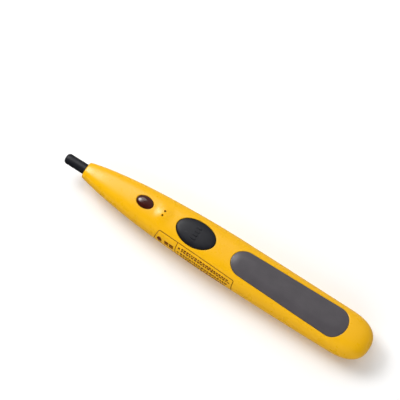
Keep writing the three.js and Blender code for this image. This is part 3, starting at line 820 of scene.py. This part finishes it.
def make_cap(name, x, size, flange, wall_top, dome):
    """An oval piece that follows the skin: flange and wall below it, then the dome."""
    net = Net()
    profile = [(1, flange, FLANGE_Z[0]), (1, flange, FLANGE_Z[1]), (1, 0, FLANGE_Z[1]), (1, 0, wall_top)]
    profile += [(share, 0, dome_height(share, *dome)) for share in dome_shares(dome[2])]
    rings = []
    for share, growth, height in profile:
        xy = ellipse(x, 0, size[0] * share + growth, size[1] * share + growth, CAP_POINTS)
        rings.append(on_skin(xy, height))
    first, last = net.stack(rings)
    net.cap(first)
    net.fan(last, (x, 0, float(skin_z(x, 0)) + dome_height(0, *dome)))
    return net.make(name)


def make_button():
    return make_cap("button_cap", BUTTON_X, BUTTON_SIZE, flange=0.7, wall_top=-0.4, dome=BUTTON_DOME)


def button_top(xy, height):
    """Points over (x, y) at a height above the button's dome."""
    share = np.hypot((xy[:, 0] - BUTTON_X) / BUTTON_SIZE[0], xy[:, 1] / BUTTON_SIZE[1])
    return on_skin(xy, dome_height(share, *BUTTON_DOME) + height)


def make_button_marks():
    """Four low rounded bars to feel for, across the button."""
    net = Net()
    profile = ((0, -0.2), (0, 0.35 * MARK_HEIGHT), (0.05, 0.75 * MARK_HEIGHT), (0.13, MARK_HEIGHT))
    for y in MARKS_Y:
        rings = []
        for inset, up in profile:
            long, wide = MARK_LENGTH / 2 - inset, MARK_WIDTH / 2 - inset
            outline = rounded_box(BUTTON_X - long, BUTTON_X + long, y - wide, y + wide, wide - SLACK, 40)
            rings.append(button_top(outline, up))
        for end in net.stack(rings):
            net.cap(end)
    return net.make("button_marks")


def make_lens():
    return make_cap("indicator_lens", LED_X, LENS_SIZE, flange=0.75, wall_top=-0.3, dome=LENS_DOME)


def make_pad():
    net = Net()
    profile = [(0, -0.7), (0, 0.02), (0.05, 0.1), (0.14, 0.16), (PAD_RIM, PAD_PROUD)]
    for inset in np.arange(0.5, 4.0, 0.3):
        share = (inset - PAD_RIM) / PAD_CROWN_IN
        profile.append((inset, PAD_PROUD + PAD_CROWN * math.sin(share * math.pi / 2)))
    for end in net.stack([on_skin(pad_outline(-inset, PAD_POINTS), height) for inset, height in profile]):
        net.zip_up(end)
    return net.make("grip_pad_moulding")


def make_probe():
    net = Net()
    profile = []
    for turn in np.linspace(math.pi / 2, 0, 10):
        in_from_tip = TIP_ROUND * (1 - math.sin(turn))
        profile.append((TIP_X + in_from_tip, PROBE_RADIUS - TIP_ROUND * (1 - math.cos(turn))))
    profile += [(x, PROBE_RADIUS) for x in (-70, -66, FLANGE_X[0])]
    profile += [(x, FLANGE_RADIUS) for x in FLANGE_X]
    angle = np.linspace(0, 2 * math.pi, PROBE_POINTS, endpoint=False)
    y, z = np.cos(angle), np.sin(angle)
    rings = [np.stack([np.full(PROBE_POINTS, x), r * y, AXIS_Z + r * z], 1) for x, r in profile]
    first, last = net.stack(rings)
    net.fan(first, (TIP_X, 0, AXIS_Z))
    net.fan(last, (FLANGE_X[1], 0, AXIS_Z))
    return net.make("probe_rod", 50)


# ---------------------------------------------------------------- printed panel on the near side
PANEL = (-22.6, 14.0)  # along X
PANEL_DEEP = 9.0
PANEL_CORNER = 0.55
PANEL_SLANT = 0.2  # how far the panel's front line leans, for each mm down
SLANT_REACH = 3
PANEL_TOP_Y = smooth_curve([(PANEL[0], 6.42), (PANEL[1], 7.85)])
PANEL_SPLIT = PANEL[0] + 9.25
LINE_WIDTH = 0.27
ROW_COUNT = 3
FIRST_ROW = 2.0
ROW_PITCH = 2.75
SQUARE = 0.42  # half the width of the square in front of a row
DASH = (0.14, 0.78)  # from a row's middle line to the inner and outer edge of its dashes
HEAVY_DASH = 1.9
INK_LIFT = 0.022
INK_THICK = 0.03
TOP_SAMPLES = 120  # of a section, from the middle of the top past the panel's top line


def near_side(x, down):
    """Points on the near side, by x and distance down from the panel's top line, and their normals."""
    ys, zs = section_curves(x)
    points, normals = [], []
    for k, (y, z) in enumerate(zip(ys, zs)):
        y, z = y[SAMPLES // 2 :], z[SAMPLES // 2 :]
        length = np.concatenate([[0], np.cumsum(np.hypot(np.diff(y), np.diff(z)))])
        start = np.interp(float(PANEL_TOP_Y(x[k])), -y[:TOP_SAMPLES], length[:TOP_SAMPLES])
        at = start + down[k] + np.array([0, 0.05])
        (here_y, ahead_y), (here_z, ahead_z) = np.interp(at, length, y), np.interp(at, length, z)
        normal = np.array([0, ahead_z - here_z, here_y - ahead_y])
        points.append((x[k], here_y, here_z))
        normals.append(normal / np.linalg.norm(normal))
    return np.array(points), np.array(normals)


def ink_net(net, rows):
    """Printed ink through rows of (x, down) points, laid on the skin."""
    lines = []
    for row in rows:
        points, normals = near_side(*np.array(row, float).T)
        lines.append(net.add(points + normals * INK_LIFT))
    for a, b in zip(lines, lines[1:]):
        net.band(a, b, closed=False)


def ink_strip(net, centre, width):
    """A thin printed line along (x, down) points."""
    centre = np.array(centre, float)
    ahead = np.gradient(centre, axis=0)
    ahead /= np.linalg.norm(ahead, axis=1)[:, None]
    side = np.stack([-ahead[:, 1], ahead[:, 0]], 1) * width / 2
    ink_net(net, [centre - side, centre + side])


def ink_block(net, x0, x1, d0, d1):
    """A printed rectangle from x0 to x1, between two distances down."""
    down = np.linspace(d0, d1, 2 + int((d1 - d0) / 0.3))
    ink_net(net, [[(x, d) for d in down] for x in (x0, x1)])


def make_panel_lines(net):
    """The panel's outline, its front line aslant, and the line that splits it."""
    outline = rounded_box(*PANEL, 0, PANEL_DEEP, PANEL_CORNER, 460)
    front = np.clip(1 - (outline[:, 0] - PANEL[0]) / SLANT_REACH, 0, 1)
    outline[:, 0] -= PANEL_SLANT * outline[:, 1] * front
    ink_strip(net, np.vstack([outline, outline[:1]]), LINE_WIDTH)
    ink_strip(net, [(PANEL_SPLIT, d) for d in np.linspace(0, PANEL_DEEP, 30)], LINE_WIDTH)


def make_panel_rows(net):
    """Rows of plain dashes of uneven length, in pairs one over the other, with a square in front."""
    draw = random.Random(7)
    for row in range(ROW_COUNT):
        middle = FIRST_ROW + ROW_PITCH * row
        square_x = PANEL_SPLIT + 1.5 - 0.12 * row  # each row starts a little ahead of the one above
        end_x = PANEL[1] - 1.8 - 0.8 * row
        ink_block(net, square_x - SQUARE, square_x + SQUARE, middle - SQUARE, middle + SQUARE)
        for first, last in ((-DASH[1], -DASH[0]), DASH):
            x = square_x + 1.1
            while x < end_x:
                long = draw.uniform(0.6, 1.3)
                ink_block(net, x, x + long, middle + first, middle + last)
                x += long + draw.uniform(0.25, 0.45)


def make_panel_heading(net):
    """A plain oval spot and two pairs of heavy dashes."""
    spot_x, spot_down = PANEL[0] + 1.35, 4.4
    spot_wide, spot_deep = 1.15, 1.7
    turns = np.linspace(-math.pi / 2, math.pi / 2, 9) * 0.98
    ink_net(net, [
        [(spot_x + side * spot_wide * math.cos(t), spot_down + spot_deep * math.sin(t)) for t in turns]
        for side in (-1, 0, 1)
    ])
    for x in (PANEL[0] + 3.85, PANEL[0] + 6.3):
        for top, bottom in ((3.0, 4.1), (4.4, 5.6)):
            ink_block(net, x, x + HEAVY_DASH, top, bottom)


def make_print():
    net = Net()
    make_panel_lines(net)
    make_panel_rows(net)
    make_panel_heading(net)
    piece = net.make("side_panel_print", None)
    thin = piece.modifiers.new("ink", "SOLIDIFY")
    thin.thickness = INK_THICK * MM
    return piece


# ---------------------------------------------------------------- materials
def new_material(name, color, roughness, metallic=0.0):
    material = bpy.data.materials.new(name)
    material.use_nodes = True
    shader = material.node_tree.nodes["Principled BSDF"]
    shader.inputs["Base Color"].default_value = (*color, 1)
    shader.inputs["Roughness"].default_value = roughness
    shader.inputs["Metallic"].default_value = metallic
    return material, shader


def noise(material, scale, detail=3.0, stretch=(1, 1, 1)):
    """Noise over the object's own coordinates, with features about 1 / scale metres long."""
    tree = material.node_tree
    place = tree.nodes.new("ShaderNodeTexCoord")
    mapping = tree.nodes.new("ShaderNodeMapping")
    mapping.inputs["Scale"].default_value = stretch
    texture = tree.nodes.new("ShaderNodeTexNoise")
    texture.inputs["Scale"].default_value = scale
    texture.inputs["Detail"].default_value = detail
    tree.links.new(place.outputs["Object"], mapping.inputs["Vector"])
    tree.links.new(mapping.outputs["Vector"], texture.inputs["Vector"])
    return texture


def vary_color(material, shader, color, other, scale, stretch=(1, 1, 1)):
    """Drifts between two colours in soft patches."""
    tree = material.node_tree
    ramp = tree.nodes.new("ShaderNodeValToRGB")
    ramp.color_ramp.elements[0].position = 0.35
    ramp.color_ramp.elements[0].color = (*color, 1)
    ramp.color_ramp.elements[1].position = 0.65
    ramp.color_ramp.elements[1].color = (*other, 1)
    tree.links.new(noise(material, scale, stretch=stretch).outputs["Fac"], ramp.inputs["Fac"])
    tree.links.new(ramp.outputs["Color"], shader.inputs["Base Color"])
    return ramp


def wear_edges(material, shader, ramp, worn, amount):
    """Lightens convex edges, where handling rubs them."""
    tree = material.node_tree
    geometry = tree.nodes.new("ShaderNodeNewGeometry")
    edge = tree.nodes.new("ShaderNodeMapRange")
    edge.inputs["From Min"].default_value = 0.52
    edge.inputs["From Max"].default_value = 0.62
    edge.inputs["To Max"].default_value = amount
    mix = tree.nodes.new("ShaderNodeMix")
    mix.data_type = "RGBA"
    mix.inputs["B"].default_value = (*worn, 1)
    tree.links.new(geometry.outputs["Pointiness"], edge.inputs["Value"])
    tree.links.new(edge.outputs["Result"], mix.inputs["Factor"])
    tree.links.new(ramp.outputs["Color"], mix.inputs["A"])
    tree.links.new(mix.outputs["Result"], shader.inputs["Base Color"])


def vary_roughness(material, shader, low, high, scale):
    """Spreads the roughness between two values in soft patches."""
    tree = material.node_tree
    spread = tree.nodes.new("ShaderNodeMapRange")
    spread.inputs["From Min"].default_value = 0.3
    spread.inputs["From Max"].default_value = 0.7
    spread.inputs["To Min"].default_value = low
    spread.inputs["To Max"].default_value = high
    tree.links.new(noise(material, scale).outputs["Fac"], spread.inputs["Value"])
    tree.links.new(spread.outputs["Result"], shader.inputs["Roughness"])


def add_bump(material, shader, scale, height, strength=0.5, stretch=(1, 1, 1)):
    """Fine relief, its height in metres."""
    tree = material.node_tree
    bump = tree.nodes.new("ShaderNodeBump")
    bump.inputs["Distance"].default_value = height
    bump.inputs["Strength"].default_value = strength
    tree.links.new(noise(material, scale, 2.0, stretch).outputs["Fac"], bump.inputs["Height"])
    tree.links.new(bump.outputs["Normal"], shader.inputs["Normal"])


def yellow_shell():
    color = (0.88, 0.463, 0.001)
    material, shader = new_material("yellow_shell", color, 0.28)
    ramp = vary_color(material, shader, color, (0.868, 0.45, 0.001), 70)
    wear_edges(material, shader, ramp, (0.91, 0.5, 0.012), 0.3)
    vary_roughness(material, shader, 0.26, 0.31, 260)
    add_bump(material, shader, 3200, 6e-6, 0.06)
    shader.inputs["IOR"].default_value = 1.46
    return material


def black_plastic():
    color = (0.0065, 0.007, 0.0105)
    material, shader = new_material("black_plastic", color, 0.45)
    ramp = vary_color(material, shader, color, (0.0085, 0.009, 0.013), 240)
    wear_edges(material, shader, ramp, (0.035, 0.035, 0.04), 0.3)
    vary_roughness(material, shader, 0.42, 0.54, 500)
    add_bump(material, shader, 4200, 9e-6, 0.5)
    shader.inputs["Specular IOR Level"].default_value = 0.4
    return material


def grey_rubber():
    color = (0.078, 0.07, 0.078)
    material, shader = new_material("grey_rubber", color, 0.38)
    ramp = vary_color(material, shader, color, (0.068, 0.061, 0.068), 180)
    wear_edges(material, shader, ramp, (0.16, 0.15, 0.16), 0.4)
    vary_roughness(material, shader, 0.33, 0.43, 420)
    add_bump(material, shader, 3600, 1.4e-5, 0.5)
    shader.inputs["Sheen Weight"].default_value = 0.15
    return material


def dark_lens():
    color = (0.04, 0.006, 0.004)
    material, shader = new_material("dark_lens", color, 0.2)
    vary_color(material, shader, color, (0.055, 0.009, 0.006), 500)
    vary_roughness(material, shader, 0.17, 0.22, 900)
    add_bump(material, shader, 900, 2e-6, 0.15)
    shader.inputs["Coat Weight"].default_value = 0.2
    shader.inputs["Coat Roughness"].default_value = 0.12
    return material


def ink():
    color = (0.12, 0.012, 0.002)
    material, shader = new_material("ink", color, 0.5)
    vary_color(material, shader, color, (0.16, 0.02, 0.003), 900)
    shader.inputs["Specular IOR Level"].default_value = 0.15
    vary_roughness(material, shader, 0.42, 0.6, 1500)
    return material


def plain_finish(name, color, other, roughness, metallic=0.0, scale=600, grain=2500, relief=5e-6,
                 stretch=(1, 1, 1)):
    material, shader = new_material(name, color, roughness, metallic)
    vary_color(material, shader, color, other, scale, stretch=stretch)
    vary_roughness(material, shader, roughness * 0.85, roughness * 1.2, scale * 1.5)
    add_bump(material, shader, grain, relief, 0.4, stretch)
    return material


def make_materials():
    return {
        "yellow_shell": yellow_shell(),
        "black_plastic": black_plastic(),
        "grey_rubber": grey_rubber(),
        "dark_lens": dark_lens(),
        "led_red": plain_finish("led_red", (0.55, 0.02, 0.02), (0.45, 0.015, 0.015), 0.12),
        "board_green": plain_finish("board_green", (0.02, 0.16, 0.06), (0.03, 0.21, 0.08), 0.4),
        "component_black": plain_finish("component_black", (0.02, 0.02, 0.022), (0.03, 0.03, 0.032), 0.5),
        "ivory_plastic": plain_finish("ivory_plastic", (0.6, 0.56, 0.46), (0.55, 0.5, 0.4), 0.45),
        "capacitor_amber": plain_finish("capacitor_amber", (0.55, 0.26, 0.04), (0.48, 0.22, 0.03), 0.4),
        "cell_blue": plain_finish("cell_blue", (0.04, 0.12, 0.3), (0.05, 0.15, 0.36), 0.3),
        "contact_metal": plain_finish("contact_metal", (0.62, 0.61, 0.58), (0.5, 0.49, 0.47), 0.28, 1.0,
                                      900, 3000, 4e-6, (6, 1, 1)),
        "antenna_brass": plain_finish("antenna_brass", (0.68, 0.46, 0.16), (0.58, 0.38, 0.12), 0.3, 1.0),
    }


MATERIALS = make_materials()


def paint(piece, material):
    piece.data.materials.clear()
    piece.data.materials.append(material)


# ---------------------------------------------------------------- the pieces
PIECES = [
    (make_housing, "body", "housing", "yellow_shell"),
    (make_rear_cover, "body", "rear_cover", "yellow_shell"),
    (make_battery_cover, "cover", "battery_cover", "yellow_shell"),
    (make_button, "button", "test_button", "black_plastic"),
    (make_lens, "body", "led_lens", "dark_lens"),
    (make_pad, "body", "grip_pad", "grey_rubber"),
    (make_probe, "body", "probe_sleeve", "black_plastic"),
]
for make, body, node, slot in PIECES:
    piece = make()
    paint(piece, MATERIALS[slot])
    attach(piece, body)
    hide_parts(node)

marks = make_button_marks()
paint(marks, MATERIALS["black_plastic"])
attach(marks, "button")

panel_print = make_print()
paint(panel_print, ink())
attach(panel_print, "body")

for row in frame["record"]["subparts"]:
    paint(NODES[row["node"]], MATERIALS[row["material_slot"]])


# ---------------------------------------------------------------- floor, light, in metres
FLOOR_REACH = 4.0
FLOOR_GAP = 0.0002
NEAR_GLOW = 0.02
FAR_GLOW = 0.27


def make_floor():
    pale = (0.98, 0.98, 0.98)
    material, shader = new_material("floor", pale, 0.6)
    vary_color(material, shader, pale, (0.97, 0.97, 0.97), 8)
    vary_roughness(material, shader, 0.55, 0.7, 30)
    mesh = bpy.data.meshes.new("floor")
    z = float(cad_box[0].z) - FLOOR_GAP
    corners = [(x * FLOOR_REACH, y * FLOOR_REACH, z) for x, y in ((-1, -1), (1, -1), (1, 1), (-1, 1))]
    mesh.from_pydata(corners, [], [(0, 1, 2, 3)])
    floor = bpy.data.objects.new("floor", mesh)
    bpy.context.scene.collection.objects.link(floor)
    paint(floor, material)
    floor.visible_glossy = False


def make_light(name, azimuth, elevation, distance, size, power, seen=True):
    """A soft area light, placed by angles in degrees. One that isn't seen gives no highlights."""
    data = bpy.data.lights.new(name, "AREA")
    data.shape = "RECTANGLE"
    data.size, data.size_y = size
    data.energy = power
    light = bpy.data.objects.new(name, data)
    towards = direction(math.radians(azimuth), math.radians(elevation))
    light.location = towards * distance
    light.rotation_euler = (-towards).to_track_quat("-Z", "Y").to_euler()
    light.visible_glossy = seen
    bpy.context.scene.collection.objects.link(light)


def make_world():
    """A white surround that darkens towards the near side."""
    world = bpy.data.worlds.new("studio")
    world.use_nodes = True
    tree = world.node_tree
    place = tree.nodes.new("ShaderNodeTexCoord")
    split = tree.nodes.new("ShaderNodeSeparateXYZ")
    level = tree.nodes.new("ShaderNodeMapRange")
    level.inputs["From Min"].default_value = -0.5
    level.inputs["From Max"].default_value = 0.5
    level.inputs["To Min"].default_value = NEAR_GLOW
    level.inputs["To Max"].default_value = FAR_GLOW
    tree.links.new(place.outputs["Generated"], split.inputs["Vector"])
    tree.links.new(split.outputs["Y"], level.inputs["Value"])
    tree.links.new(level.outputs["Result"], tree.nodes["Background"].inputs["Strength"])
    tree.nodes["Background"].inputs["Color"].default_value = (1, 1, 1, 1)
    bpy.context.scene.world = world


make_floor()
make_light("softbox", azimuth=-113, elevation=52, distance=1.0, size=(0.95, 0.44), power=3.8)
make_light("key", azimuth=-102, elevation=46, distance=1.0, size=(0.4, 0.3), power=4.0)
make_light("near_fill", azimuth=15, elevation=25, distance=1.2, size=(1.8, 1.6), power=12.5, seen=False)
make_light("far_fill", azimuth=170, elevation=60, distance=1.2, size=(1.6, 1.6), power=6, seen=False)
make_world()
bpy.context.scene.view_settings.view_transform = "Standard"
